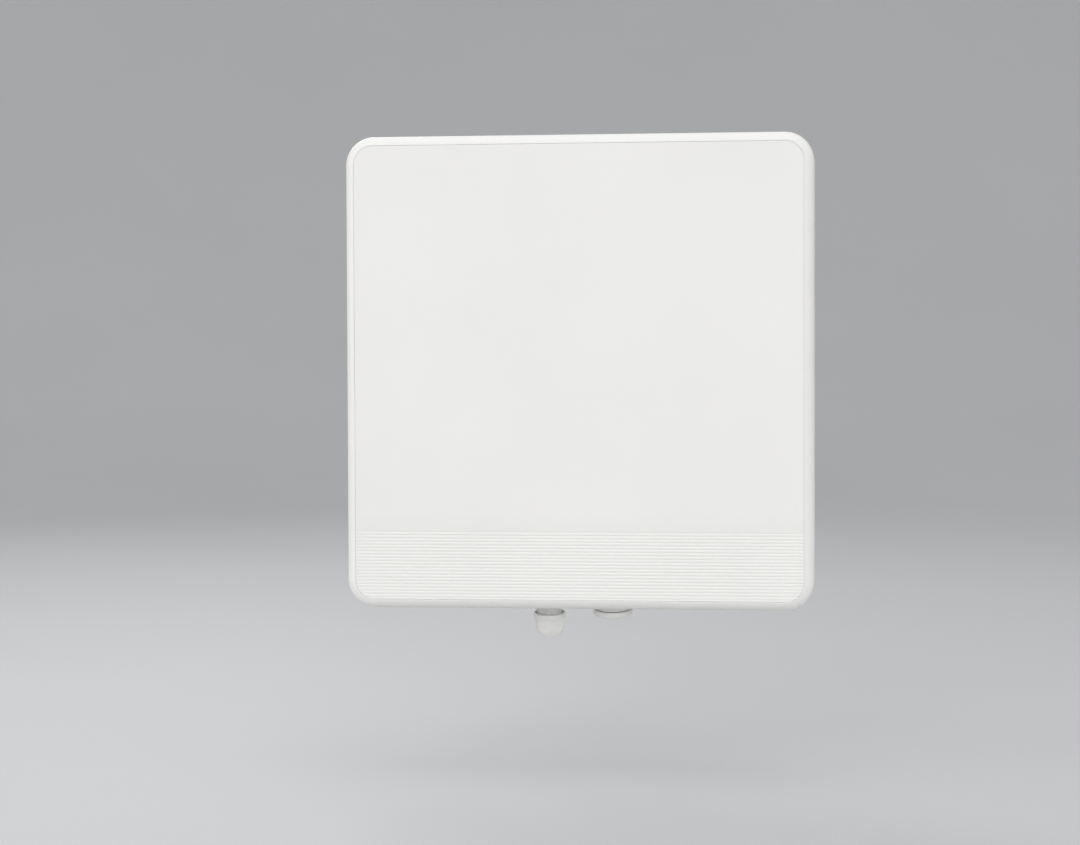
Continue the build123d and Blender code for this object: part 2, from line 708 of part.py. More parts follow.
def pole_yoke():
    channel = u_channel(POLE_ARM, POLE_ARM + PLATE, YOKE_BACK, -80, -40, 43)
    arm = hull_profile(
        [(PIVOT_Y, PIVOT_Z, 11), (PIVOT_Y, LOCK_Z, 11)], (YOKE_FRONT - 3, YOKE_BACK + 3, -30, 33))
    reach = 2 * POLE_ARM
    yoke = channel & extrude(facing_right(0) * arm, reach, both=True)
    for z in (PIVOT_Z, LOCK_Z):
        yoke -= rod_x(PIVOT_Y, z, 4.2, -reach, reach)
    for x in (-CLAMP_BOLT_X, CLAMP_BOLT_X):
        yoke -= rod_y(x, 0, 4.2, YOKE_FRONT - 1, YOKE_BACK + 1)
    return yoke


def saddle(side):
    """Half of the clamp: side -1 in front of the pole, +1 behind it."""
    half_width = POLE_ARM + 1
    foot, wing, tip = side * -YOKE_BACK, side * SADDLE_WING, side * SADDLE_TIP
    outline = make_face(Polyline(
        (-half_width, foot), (-half_width, wing), (-29, wing), (-20, tip), (20, tip),
        (29, wing), (half_width, wing), (half_width, foot), close=True,
    ))
    half = CLAMP_LENGTH / 2
    body = extrude(Pos(0, 0, -half) * outline, CLAMP_LENGTH)
    body -= Cylinder(POLE_R, 2 * CLAMP_LENGTH)
    radius = 4.2 if side < 0 else 4.5
    for x in (-CLAMP_BOLT_X, CLAMP_BOLT_X):
        body -= rod_y(x, 0, radius, min(foot, wing) - 1, max(foot, wing) + 1)
    return body


def side_bolts(z):
    """M8 bolts through both yokes, one on each side, heads outside."""
    inner, seat = POLE_ARM - 11, TILT_ARM + PLATE + 0.2 + WASHER_T
    bolts = []
    for side in (-1, 1):
        near, far = sorted((side * inner, side * (seat + 0.2)))
        head_near, head_far = sorted((side * seat, side * (seat + 5.3)))
        bolts.append(
            rod_x(PIVOT_Y, z, 4.0, near, far) + hex_x(PIVOT_Y, z, NUT_M8, head_near, head_far))
    return bolts


def side_nuts(z):
    nuts = []
    for side in (-1, 1):
        x0, x1 = sorted((side * (POLE_ARM - WASHER_T - NUT_M8_T), side * (POLE_ARM - WASHER_T)))
        nuts.append(
            hex_x(PIVOT_Y, z, NUT_M8, x0, x1) - rod_x(PIVOT_Y, z, 4.0, x0 - 1, x1 + 1))
    return nuts


def side_washers(z):
    washers = []
    outer = TILT_ARM + PLATE + 0.2
    for side in (-1, 1):
        for start in (POLE_ARM - WASHER_T, outer):
            x0, x1 = sorted((side * start, side * (start + WASHER_T)))
            washers.append(
                rod_x(PIVOT_Y, z, 8.0, x0, x1) - rod_x(PIVOT_Y, z, 4.2, x0 - 1, x1 + 1))
    return washers


def clamp_bolts():
    return [
        rod_y(x, 0, 4.0, YOKE_FRONT - 0.2, CLAMP_BOLT_END)
        + hex_y(x, 0, NUT_M8, YOKE_FRONT - 5.3, YOKE_FRONT)
        for x in (-CLAMP_BOLT_X, CLAMP_BOLT_X)
    ]


JAW_BACK = -YOKE_BACK


def jaw_washers():
    return [
        rod_y(x, 0, 8.0, JAW_BACK, JAW_BACK + WASHER_T)
        - rod_y(x, 0, 4.4, JAW_BACK - 1, JAW_BACK + 3)
        for x in (-CLAMP_BOLT_X, CLAMP_BOLT_X)
    ]


def clamp_nut(x):
    start = JAW_BACK + WASHER_T + 0.05
    nut = hex_y(x, 0, NUT_M8, start, start + NUT_M8_T)
    return nut - rod_y(x, 0, 4.0 + RUN, start - 1, start + NUT_M8_T + 1)


# ---- write every piece -----------------------------------------------------------
write("radome", radome())
write("radome_gasket", radome_gasket())
write("housing_flange", housing_flange())
write("rear_housing", rear_housing())
write_group("cooling_fins", cooling_fins())
write_group("bracket_pads", bracket_pads())
write_group("housing_screws", housing_screws())
write("vent_plug", vent_plug())
write("earth_stud", earth_stud())
write_group("earth_nut", earth_nut())

write("gland_gasket", gland_gasket())
write("gland_body", gland_body())
write("gland_cage", gland_cage())
write("gland_seal", gland_seal())
write("gland_nut", gland_nut())
write("cap_o_ring", cap_o_ring())
write("service_cap", service_cap())

write("ground_plate", ground_plate())
write("feed_board", feed_board())
write_group("driven_patches", square_patches(PATCH, FEED_FRONT))
write("feed_network", feed_network())
write_group("foam_spacers", foam_spacers())
write("parasitic_sheet", parasitic_sheet())
write_group("parasitic_patches", square_patches(PATCH - 2, FEED_FRONT - COPPER - FOAM_T - SHEET_T))
write_group("antenna_standoffs", antenna_standoffs())
write_group("antenna_screws", antenna_screws())

write("radio_board", radio_board())
write_group("board_standoffs", board_standoffs())
write_group("board_screws", board_screws())
write("processor", processor())
write("thermal_pad", thermal_pad())
write_group("shield_cans", shield_cans())
write("radio_card", radio_card())
write("ethernet_jack", ethernet_jack())
write_group("power_parts", power_parts())
write("reset_switch", reset_switch())
write("reset_plunger", reset_plunger())
write_group("coax_connectors", coax_connectors())
write("coax_jumper_left", coax_jumper(JUMPER_X[0]))
write("coax_jumper_right", coax_jumper(JUMPER_X[1]))

write("tilt_yoke", tilt_yoke())
write_group("yoke_bolts", yoke_bolts())
write_group("yoke_washers", yoke_washers())
write("pole_yoke", pole_yoke())
write("front_saddle", saddle(-1))
write_group("pivot_bolts", side_bolts(PIVOT_Z))
write_group("pivot_nuts", side_nuts(PIVOT_Z))
write_group("pivot_washers", side_washers(PIVOT_Z))
write_group("lock_bolts", side_bolts(LOCK_Z))
write_group("lock_nuts", side_nuts(LOCK_Z))
write_group("lock_washers", side_washers(LOCK_Z))
write_group("clamp_bolts", clamp_bolts())
write("rear_jaw", saddle(1))
write_group("jaw_washers", jaw_washers())
write("clamp_nut_left", clamp_nut(-CLAMP_BOLT_X))
write("clamp_nut_right", clamp_nut(CLAMP_BOLT_X))
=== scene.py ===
import json
from collections import namedtuple
from math import asin, cos, pi, radians, sin, tan

import bpy
from mathutils import Matrix, Vector


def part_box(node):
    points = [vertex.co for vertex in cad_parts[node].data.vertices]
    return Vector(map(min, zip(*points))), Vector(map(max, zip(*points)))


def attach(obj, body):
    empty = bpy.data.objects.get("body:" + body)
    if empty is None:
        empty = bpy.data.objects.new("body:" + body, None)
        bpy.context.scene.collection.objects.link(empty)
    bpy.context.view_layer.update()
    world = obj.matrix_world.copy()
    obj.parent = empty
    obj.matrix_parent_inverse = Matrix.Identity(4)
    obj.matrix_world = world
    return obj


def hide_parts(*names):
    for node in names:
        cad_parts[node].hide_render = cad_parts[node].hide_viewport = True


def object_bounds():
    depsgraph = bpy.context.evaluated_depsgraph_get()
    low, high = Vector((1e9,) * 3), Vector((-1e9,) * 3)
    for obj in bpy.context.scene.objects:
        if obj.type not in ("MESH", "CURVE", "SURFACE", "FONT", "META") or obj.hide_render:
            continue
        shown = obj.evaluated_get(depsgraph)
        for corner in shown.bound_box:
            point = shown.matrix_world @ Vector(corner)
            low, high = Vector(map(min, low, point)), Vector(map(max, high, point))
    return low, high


# An outdoor wireless bridge: a white square panel radio on a tilting pole bracket.
# Metres. The panel's face looks along -Y, +Z is up, the pole's axis is the Z axis.

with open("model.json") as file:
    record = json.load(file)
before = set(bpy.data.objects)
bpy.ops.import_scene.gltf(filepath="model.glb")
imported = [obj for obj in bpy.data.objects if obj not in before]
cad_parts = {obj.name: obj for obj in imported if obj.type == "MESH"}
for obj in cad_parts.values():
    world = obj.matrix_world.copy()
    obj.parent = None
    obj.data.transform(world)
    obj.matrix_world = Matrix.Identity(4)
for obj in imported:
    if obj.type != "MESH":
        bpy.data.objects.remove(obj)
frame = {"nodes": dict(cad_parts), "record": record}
CAD_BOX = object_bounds()
NODES = frame["nodes"]
SLOT_OF = {s["node"]: s["material_slot"] for s in frame["record"]["subparts"]}


# ---- meshes -------------------------------------------------------------------
# Edges that turn by more degrees than these stay sharp.
HARDWARE_SHARP, COVER_SHARP, CASTING_SHARP, FLOOR_SHARP = 30.0, 40.0, 32.0, 80.0


def linked_piece(name, mesh, sharp_degrees):
    """A smooth-shaded object in the scene, sharp where its faces turn far."""
    mesh.shade_smooth()
    mesh.set_sharp_from_angle(angle=radians(sharp_degrees))
    piece = bpy.data.objects.new(name, mesh)
    bpy.context.scene.collection.objects.link(piece)
    return piece


def new_object(name, points, faces, sharp_degrees):
    mesh = bpy.data.meshes.new(name)
    mesh.from_pydata([tuple(p) for p in points], [], faces)
    mesh.update()
    return linked_piece(name, mesh, sharp_degrees)


class Solid:
    """Points and faces collected from several closed forms, placed by a matrix each."""

    def __init__(self):
        self.points = []
        self.faces = []

    def add(self, points, faces, place=Matrix.Identity(4)):
        start = len(self.points)
        self.points += [place @ Vector(p) for p in points]
        self.faces += [[start + i for i in face] for face in faces]

    def build(self, name):
        return new_object(name, self.points, self.faces, HARDWARE_SHARP)


def rings_to_faces(ring_count, size, ends="flat"):
    """Quads between rings of equal size; the ends are flat, open or joined to each other."""
    faces = []
    for r in range(ring_count if ends == "joined" else ring_count - 1):
        here, beyond = r * size, (r + 1) % ring_count * size
        for k in range(size):
            n = (k + 1) % size
            faces.append([here + k, here + n, beyond + n, beyond + k])
    if ends == "flat":
        faces.append(list(range(size))[::-1])
        faces.append([(ring_count - 1) * size + k for k in range(size)])
    return faces


def around(size):
    return [2 * pi * k / size for k in range(size)]


def hex_radius(angle, across_flats):
    """Distance from the centre to a hexagon's side in that direction."""
    sector = (angle + pi / 6) % (pi / 3) - pi / 6
    return across_flats / 2 / cos(sector)


def place_along(origin, direction, turn=0.0):
    """A matrix whose Z runs along a level direction from origin."""
    z = Vector(direction).normalized()
    x = Vector((0, 0, 1)).cross(z).normalized()
    rotation = Matrix((x, z.cross(x), z)).transposed().to_4x4()
    return Matrix.Translation(origin) @ rotation @ Matrix.Rotation(turn, 4, "Z")


def curve_point(start, corner, end, share):
    """A point on the short curve that turns a corner."""
    left = 1 - share
    return start * left ** 2 + corner * 2 * share * left + end * share ** 2


# ---- hardware -----------------------------------------------------------------
HEX_SIDES = 48
CROWN_SHARE = 0.94              # of a hexagon's half width, where its end chamfer starts
CHAMFER = tan(radians(30))
BORE_LEAD = 0.12                # a nut's countersink, as a share of its bore


def hexagon_body(across_flats, height, bore, both_ends=False):
    """A chamfered hexagon: a nut with a bore, or a bolt head with none."""
    angles = around(HEX_SIDES)
    crown = across_flats / 2 * CROWN_SHARE

    def ring(radius_at, height_at):
        return [
            (radius_at(a) * cos(a), radius_at(a) * sin(a), height_at(a)) for a in angles
        ]

    def level(radius, at):
        return ring(lambda a: radius, lambda a: at)

    def full(a):
        return hex_radius(a, across_flats)

    def drop(a):
        return (full(a) - crown) * CHAMFER

    rings = [level(crown, 0), ring(full, drop)] if both_ends else [ring(full, lambda a: 0)]
    rings += [ring(full, lambda a: height - drop(a)), level(crown, height)]
    if bore:
        lead = bore * BORE_LEAD
        rings += [level(bore + lead, height), level(bore, height - lead)]
        rings += [level(bore, lead), level(bore + lead, 0)]
    points = [p for r in rings for p in r]
    return points, rings_to_faces(len(rings), HEX_SIDES, "joined" if bore else "flat")


THREAD_SIDES = 28
THREAD_ROWS = 6
THREAD_DEPTH = 0.54             # of the pitch
TIP_CHAMFER = 1.1               # of the depth
FLANK_SLOPE, ROOT_SHARE = 1.35, 0.15


def threaded_rod(radius, pitch, start, end):
    """A rod whose surface carries a screw thread, with a chamfered tip at its far end."""
    depth = THREAD_DEPTH * pitch
    step = pitch / THREAD_ROWS
    rows = max(2, int(round((end - start) / step)))
    points = []
    for i in range(rows + 1):
        z = start + (end - start) * i / rows
        tip = max(0.0, depth * TIP_CHAMFER - (end - z))
        for a in around(THREAD_SIDES):
            phase = (z / pitch - a / (2 * pi)) % 1.0
            crest = min(1.0, max(0.0, FLANK_SLOPE * abs(2 * phase - 1) - ROOT_SHARE))
            r = min(radius - depth * (1 - crest), radius - tip)
            points.append((r * cos(a), r * sin(a), z))
    return points, rings_to_faces(rows + 1, THREAD_SIDES)


SHANK_SIDES, WASHER_SIDES = 32, 40
WASHER_EDGE = 0.2               # of the thickness


def turned_form(profile, sides=SHANK_SIDES, ends="flat"):
    """A body of revolution from (radius, height) points."""
    points = [(r * cos(a), r * sin(a), h) for r, h in profile for a in around(sides)]
    return points, rings_to_faces(len(profile), sides, ends)


def washer_form(inner, outer, thick):
    edge = thick * WASHER_EDGE
    return turned_form([
        (inner, edge), (inner + edge, 0), (outer - edge, 0), (outer, edge),
        (outer, thick - edge), (outer - edge, thick), (inner + edge, thick), (inner, thick - edge),
    ], WASHER_SIDES, "joined")


# ---- materials ----------------------------------------------------------------
NOISE_LOW, NOISE_HIGH = 0.3, 0.7    # most of a noise texture lies between these
EDGE_WORN, EDGE_OPEN = 0.86, 0.995  # how the rounded normal agrees with the true one
MIX_FIRST, MIX_SECOND, MIX_RESULT = 6, 7, 2     # a colour Mix node's sockets


class Shader:
    """A principled material with short helpers for its nodes."""

    def __init__(self, name, colour, roughness, metallic=0.0):
        self.material = bpy.data.materials.new(name)
        self.material.use_nodes = True
        self.tree = self.material.node_tree
        self.surface = self.tree.nodes["Principled BSDF"]
        self.surface.inputs["Base Color"].default_value = (*colour, 1)
        self.surface.inputs["Roughness"].default_value = roughness
        self.surface.inputs["Metallic"].default_value = metallic
        self.place = self.tree.nodes.new("ShaderNodeTexCoord").outputs["Object"]
        self.height = None

    def soft_edges(self, radius):
        """Rounds the shading of sharp edges, as tumbling, coating or moulding does."""
        node = self.tree.nodes.new("ShaderNodeBevel")
        node.samples = 4
        node.inputs["Radius"].default_value = radius
        self.height = node.outputs["Normal"]
        self.link(self.height, self.surface.inputs["Normal"])
        return self.height

    def edge_mask(self, rounded):
        """1 on worn edges, 0 on open faces, by how far the rounded normal leans."""
        true = self.tree.nodes.new("ShaderNodeNewGeometry").outputs["Normal"]
        dot = self.tree.nodes.new("ShaderNodeVectorMath")
        dot.operation = "DOT_PRODUCT"
        self.link(rounded, dot.inputs[0])
        self.link(true, dot.inputs[1])
        return self.remap(dot.outputs["Value"], 1.0, 0.0, EDGE_WORN, EDGE_OPEN)

    def blend_colour(self, share, varied, plain):
        """Goes from a varied colour to a plain one by a share."""
        node = self.tree.nodes.new("ShaderNodeMix")
        node.data_type = "RGBA"
        self.link(share, node.inputs["Factor"])
        self.link(varied, node.inputs[MIX_FIRST])
        node.inputs[MIX_SECOND].default_value = (*plain, 1)
        self.link(node.outputs[MIX_RESULT], self.surface.inputs["Base Color"])

    def link(self, a, b):
        self.tree.links.new(a, b)

    def noise(self, scale, detail=3.0, rough=0.5, stretch=None):
        node = self.tree.nodes.new("ShaderNodeTexNoise")
        node.inputs["Scale"].default_value = scale
        node.inputs["Detail"].default_value = detail
        node.inputs["Roughness"].default_value = rough
        self.link(self.stretched(stretch), node.inputs["Vector"])
        return node.outputs["Fac"]

    def stretched(self, stretch):
        if stretch is None:
            return self.place
        mapping = self.tree.nodes.new("ShaderNodeMapping")
        mapping.inputs["Scale"].default_value = stretch
        self.link(self.place, mapping.inputs["Vector"])
        return mapping.outputs["Vector"]

    def cells(self, scale):
        """A value of its own for each crystal."""
        node = self.tree.nodes.new("ShaderNodeTexVoronoi")
        node.inputs["Scale"].default_value = scale
        self.link(self.place, node.inputs["Vector"])
        split = self.tree.nodes.new("ShaderNodeSeparateColor")
        self.link(node.outputs["Color"], split.inputs["Color"])
        return split.outputs["Red"]

    def ramp(self, value, stops):
        node = self.tree.nodes.new("ShaderNodeValToRGB")
        elements = node.color_ramp.elements
        while len(elements) < len(stops):
            elements.new(0.5)
        for element, (at, colour) in zip(elements, stops):
            element.position = at
            element.color = (*colour, 1)
        self.link(value, node.inputs["Fac"])
        return node.outputs["Color"]

    def remap(self, value, low, high, from_low=NOISE_LOW, from_high=NOISE_HIGH):
        node = self.tree.nodes.new("ShaderNodeMapRange")
        node.inputs["From Min"].default_value = from_low
        node.inputs["From Max"].default_value = from_high
        node.inputs["To Min"].default_value = low
        node.inputs["To Max"].default_value = high
        self.link(value, node.inputs["Value"])
        return node.outputs["Result"]

    def colour_between(self, value, dark, light):
        colour = self.ramp(value, [(NOISE_LOW, dark), (NOISE_HIGH, light)])
        self.link(colour, self.surface.inputs["Base Color"])

    def roughness_between(self, value, low, high):
        self.link(self.remap(value, low, high), self.surface.inputs["Roughness"])

    def bump(self, value, distance, strength):
        """Adds a layer of relief; distance is its depth in metres."""
        node = self.tree.nodes.new("ShaderNodeBump")
        node.inputs["Strength"].default_value = strength
        node.inputs["Distance"].default_value = distance
        self.link(value, node.inputs["Height"])
        if self.height is not None:
            self.link(self.height, node.inputs["Normal"])
        self.height = node.outputs["Normal"]
        self.link(self.height, self.surface.inputs["Normal"])

    def specular(self, level):
        self.surface.inputs["Specular IOR Level"].default_value = level


def tint(colour, factor):
    return tuple(min(1.0, c * factor) for c in colour)


def moulded_plastic(name, colour, roughness, grain=0.00002, grain_scale=2600.0, spread=0.012):
    """Textured moulded plastic: a fine spark-eroded grain and a faint flow mottle."""
    s = Shader(name, colour, roughness)
    s.soft_edges(0.0005)
    s.colour_between(s.noise(9.0, 4.0), tint(colour, 1 - spread), tint(colour, 1 + spread))
    s.roughness_between(s.noise(40.0, 3.0), roughness - 0.04, roughness + 0.05)
    s.bump(s.noise(grain_scale, 2.0, 0.6), grain, 0.6)
    s.bump(s.noise(22.0, 2.0), 0.00012, 0.25)
    s.specular(0.45)
    return s.material


def powder_coat(name, colour, roughness):
    """Powder coating over cast metal: orange peel over a slightly uneven casting."""
    s = Shader(name, colour, roughness)
    s.soft_edges(0.0006)
    s.colour_between(s.noise(14.0, 4.0), tint(colour, 0.975), tint(colour, 1.015))
    s.roughness_between(s.noise(60.0, 2.0), roughness - 0.05, roughness + 0.06)
    s.bump(s.noise(900.0, 2.0, 0.4), 0.00006, 0.5)
    s.bump(s.noise(60.0, 2.0), 0.0002, 0.2)
    return s.material


def galvanised(name, colour):
    """Hot-dip zinc: crystal spangle in patches of different grey."""
    s = Shader(name, colour, 0.42, 1.0)
    rounded = s.soft_edges(0.0005)
    patch = s.cells(210.0)
    spangle = s.ramp(patch, [(0.1, tint(colour, 0.93)), (0.9, tint(colour, 1.06))])
    s.blend_colour(s.edge_mask(rounded), spangle, tint(colour, 1.35))
    s.link(s.remap(patch, 0.40, 0.50, 0.0, 1.0), s.surface.inputs["Roughness"])
    s.bump(s.noise(420.0, 3.0), 0.00004, 0.5)
    return s.material


def turned_steel(name, colour, roughness):
    """Stainless fastener steel with fine machining haze."""
    s = Shader(name, colour, roughness, 1.0)
    s.soft_edges(0.00025)
    s.colour_between(s.noise(120.0, 4.0), tint(colour, 0.88), tint(colour, 1.08))
    s.roughness_between(s.noise(300.0, 3.0), roughness - 0.08, roughness + 0.1)
    s.bump(s.noise(1500.0, 2.0, 0.5, (1, 1, 6)), 0.00001, 0.5)
    return s.material


def cast_metal(name, colour, roughness):
    """Bare cast aluminium with sand-like grain."""
    s = Shader(name, colour, roughness, 1.0)
    rounded = s.soft_edges(0.001)
    stops = [(NOISE_LOW, tint(colour, 0.82)), (NOISE_HIGH, tint(colour, 1.08))]
    grain = s.ramp(s.noise(180.0, 5.0), stops)
    s.blend_colour(s.edge_mask(rounded), grain, tint(colour, 1.3))
    s.roughness_between(s.noise(90.0, 3.0), roughness - 0.07, roughness + 0.1)
    s.bump(s.noise(1100.0, 3.0, 0.6), 0.00012, 0.7)
    return s.material


def rubber(name, colour):
    """Matt rubber or silicone with a fine bloom."""
    s = Shader(name, colour, 0.68)
    s.colour_between(s.noise(70.0, 4.0), tint(colour, 0.8), tint(colour, 1.3))
    s.bump(s.noise(1400.0, 2.0), 0.00003, 0.5)
    s.specular(0.35)
    return s.material


def board_laminate(name, colour, roughness):
    """Glass-cloth laminate: a woven tint under varnish."""
    s = Shader(name, colour, roughness)
    weave = s.noise(900.0, 1.0, 0.3, (1, 1, 0.2))
    s.colour_between(weave, tint(colour, 0.85), tint(colour, 1.12))
    s.bump(weave, 0.00002, 0.4)
    return s.material


def metal_sheet(name, colour, roughness):
    """Rolled sheet with brushed lines along Z."""
    s = Shader(name, colour, roughness, 1.0)
    lines = s.noise(160.0, 4.0, 0.6, (14, 14, 0.4))
    s.colour_between(lines, tint(colour, 0.86), tint(colour, 1.08))
    s.roughness_between(lines, roughness - 0.07, roughness + 0.1)
    s.bump(lines, 0.000015, 0.5)
    return s.material


COVER_WHITE = (0.866, 0.857, 0.832)
MATERIALS = {
    "cover_white": moulded_plastic("cover_white", COVER_WHITE, 0.46),
    "housing_white": powder_coat("housing_white", (0.785, 0.78, 0.76), 0.48),
    "fitting_white": moulded_plastic(
        "fitting_white", (0.84, 0.835, 0.815), 0.34, 0.000012, 1800.0, 0.02),
    "black_rubber": rubber("black_rubber", (0.028, 0.028, 0.03)),
    "stainless_steel": turned_steel("stainless_steel", (0.62, 0.61, 0.59), 0.3),
    "zinc_steel": galvanised("zinc_steel", (0.56, 0.575, 0.59)),
    "cast_aluminium": cast_metal("cast_aluminium", (0.60, 0.61, 0.62), 0.48),
    "black_plastic": moulded_plastic("black_plastic", (0.03, 0.03, 0.032), 0.5, 0.00002, 2000, 0.3),
    "plate_aluminium": metal_sheet("plate_aluminium", (0.72, 0.73, 0.74), 0.35),
    "white_laminate": board_laminate("white_laminate", (0.74, 0.70, 0.60), 0.5),
    "copper": metal_sheet("copper", (0.80, 0.45, 0.30), 0.3),
    "foam": moulded_plastic("foam", (0.85, 0.85, 0.83), 0.8, 0.0001, 1200.0, 0.04),
    "brass": turned_steel("brass", (0.72, 0.56, 0.28), 0.28),
    "green_board": board_laminate("green_board", (0.03, 0.20, 0.09), 0.35),
    "grey_silicone": rubber("grey_silicone", (0.33, 0.35, 0.38)),
    "tinned_steel": metal_sheet("tinned_steel", (0.70, 0.70, 0.68), 0.32),
    "brown_coax": moulded_plastic("brown_coax", (0.30, 0.15, 0.07), 0.4, 0.00001, 1500, 0.1),
}


def paint(piece, slot):
    piece.data.materials.clear()
    piece.data.materials.append(MATERIALS[slot])


for node, cad_object in NODES.items():
    paint(cad_object, SLOT_OF[node])


def stand_in(piece, node, body):
    """The finished piece takes the place of a CAD node and its material."""
    paint(piece, SLOT_OF[node])
    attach(piece, body)
    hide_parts(node)


# ---- front cover --------------------------------------------------------------
COVER_LOW, COVER_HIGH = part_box("radome")
HALF_W = COVER_HIGH.x
HALF_H = COVER_HIGH.z
FACE_Y, RIM_Y = COVER_LOW.y, COVER_HIGH.y
CORNER = 0.023                  # radius of the outline's corners
CORE_X, CORE_Z = HALF_W - CORNER, HALF_H - CORNER
EDGE = 0.011                    # radius of the bend from side to face
CREASE_CUT = 0.0008             # how far past the face the whole bend would run
CREASE_START = 0.955            # of the bend, where the crease's own curve begins
DRAFT = tan(radians(1.5))
SKIN = 0.0025
LIP_DEPTH = 0.022               # how far the skin is modelled inside the rim
SIDE_ROWS, BEND_ROWS, CREASE_ROWS = 6, 16, 4
GROOVES = 21
GROOVE_PITCH = 0.00257
GROOVE_TOP = -0.1246
GROOVE_DEPTH = 0.00024
GROOVE_HALF = 0.00095
GROOVE_SHARES = (-1, -0.66, -0.33, 0, 0.33, 0.66, 1)
FACE_ROWS = (-0.11, -0.08, -0.04, 0.0, 0.04, 0.08, 0.12, 0.145)
FACE_COLUMNS = 8                # to each side of the middle
FACE_BORDER = 0.0016            # width of the band of faces beside the crease


def cover_profile():
    """(inset, y) from inside the rim, round the rim, up the side and over the edge."""
    rows = [(SKIN + 0.0006, RIM_Y - LIP_DEPTH), (SKIN, RIM_Y - 0.0004), (SKIN - 0.0004, RIM_Y)]
    rows += [(0.0005, RIM_Y), (0.00015, RIM_Y - 0.00015), (0.0, RIM_Y - 0.0005)]
    bend_start = FACE_Y - CREASE_CUT + EDGE
    for i in range(1, SIDE_ROWS + 1):
        y = RIM_Y + (bend_start - RIM_Y) * i / SIDE_ROWS
        rows.append(((RIM_Y - y) * DRAFT, y))
    inset = (RIM_Y - bend_start) * DRAFT
    last = asin((EDGE - CREASE_CUT) / EDGE)
    for i in range(1, BEND_ROWS + 1):
        a = last * CREASE_START * i / BEND_ROWS
        rows.append((inset + EDGE * (1 - cos(a)), bend_start - EDGE * sin(a)))
    crease = inset + EDGE * (1 - cos(last))
    start = Vector(rows[-1])
    corner = Vector((crease, FACE_Y))
    end = Vector((crease + (corner - start).length, FACE_Y))
    for i in range(1, CREASE_ROWS + 1):
        rows.append(tuple(curve_point(start, corner, end, i / CREASE_ROWS)))
    return rows


def groove_depth(z):
    nearest = round((GROOVE_TOP - z) / GROOVE_PITCH)
    if not 0 <= nearest < GROOVES:
        return 0.0
    away = abs(z - (GROOVE_TOP - nearest * GROOVE_PITCH)) / GROOVE_HALF
    return GROOVE_DEPTH * (0.5 + 0.5 * cos(pi * away)) if away < 1 else 0.0


def face_heights(face_inset):
    """Heights of the rows of points across the face, with enough of them in each groove."""
    limit = HALF_H - face_inset
    heights = {round(z, 6) for z in FACE_ROWS}
    for g in range(GROOVES):
        centre = GROOVE_TOP - g * GROOVE_PITCH
        for share in GROOVE_SHARES:
            heights.add(round(centre + share * GROOVE_HALF, 6))
    reach = CORNER - face_inset
    for degrees in range(0, 85, 7):
        heights.add(round(CORE_Z + reach * sin(radians(degrees)), 6))
    lowest = GROOVE_TOP - (GROOVES - 1) * GROOVE_PITCH - GROOVE_HALF
    heights.add(round(-CORE_Z, 6))
    for share in (0.35, 0.65, 0.85):
        heights.add(round(lowest + (-limit - lowest) * share, 6))
    return sorted(heights)


def front_cover():
    """The shell as rings of points round its outline, closed by a grid across the face."""
    profile = cover_profile()
    face_inset = profile[-1][0]
    reach = CORNER - face_inset
    heights = [z for z in face_heights(face_inset) if abs(z) < CORE_Z + reach - 1e-5]
    columns = [CORE_X * k / FACE_COLUMNS for k in range(-FACE_COLUMNS, FACE_COLUMNS + 1)]

    def side_points(z_order, side):
        """(centre x, centre z, outward x, outward z) down or up one side."""
        found = []
        for z in z_order:
            a = asin(min(max((abs(z) - CORE_Z) / reach, 0.0), 1.0))
            upright = sin(a) * (1 if z > 0 else -1)
            found.append((side * CORE_X, max(-CORE_Z, min(CORE_Z, z)), side * cos(a), upright))
        return found

    outline = [(x, -CORE_Z, 0.0, -1.0) for x in columns] + side_points(heights, 1)
    outline += [(x, CORE_Z, 0.0, 1.0) for x in columns[::-1]] + side_points(heights[::-1], -1)
    size = len(outline)
    points = []
    for inset, y in profile:
        r = CORNER - inset
        points += [(cx + r * nx, y, cz + r * nz) for cx, cz, nx, nz in outline]
    faces = [f[::-1] for f in rings_to_faces(len(profile), size, "open")]

    # The last ring's points, by side, each counted left to right or bottom to top.
    last = (len(profile) - 1) * size
    wide, tall = len(columns), len(heights)
    bottom = [last + k for k in range(wide)]
    right = [last + wide + k for k in range(tall)]
    top = [last + wide + tall + k for k in range(wide)][::-1]
    left = [last + 2 * wide + tall + k for k in range(tall)][::-1]

    rows = []
    for k, z in enumerate(heights):
        depth = groove_depth(z)
        half = points[right[k]][0]
        border = half - FACE_BORDER
        if border <= CORE_X:
            border = (CORE_X + half) / 2
        xs = [-border] + columns + [border]
        start = len(points)
        points += [(x, FACE_Y + depth, z) for x in xs]
        rows.append([left[k]] + [start + i for i in range(len(xs))] + [right[k]])
    for low, high in zip(rows, rows[1:]):
        for i in range(len(low) - 1):
            faces.append([low[i], low[i + 1], high[i + 1], high[i]])
    first, final = rows[0], rows[-1]
    for i in range(wide - 1):
        faces.append([bottom[i], bottom[i + 1], first[i + 3], first[i + 2]])
        faces.append([final[i + 2], final[i + 3], top[i + 1], top[i]])
    for corner, row, fan in (
        (bottom[0], first, (2, 1, 0)), (bottom[-1], first, (-1, -2, -3)),
        (top[0], final, (0, 1, 2)), (top[-1], final, (-3, -2, -1)),
    ):
        for a, b in zip(fan, fan[1:]):
            faces.append([corner, row[a], row[b]])
    return new_object("front_cover", points, faces, COVER_SHARP)


stand_in(front_cover(), "radome", "radio_unit")


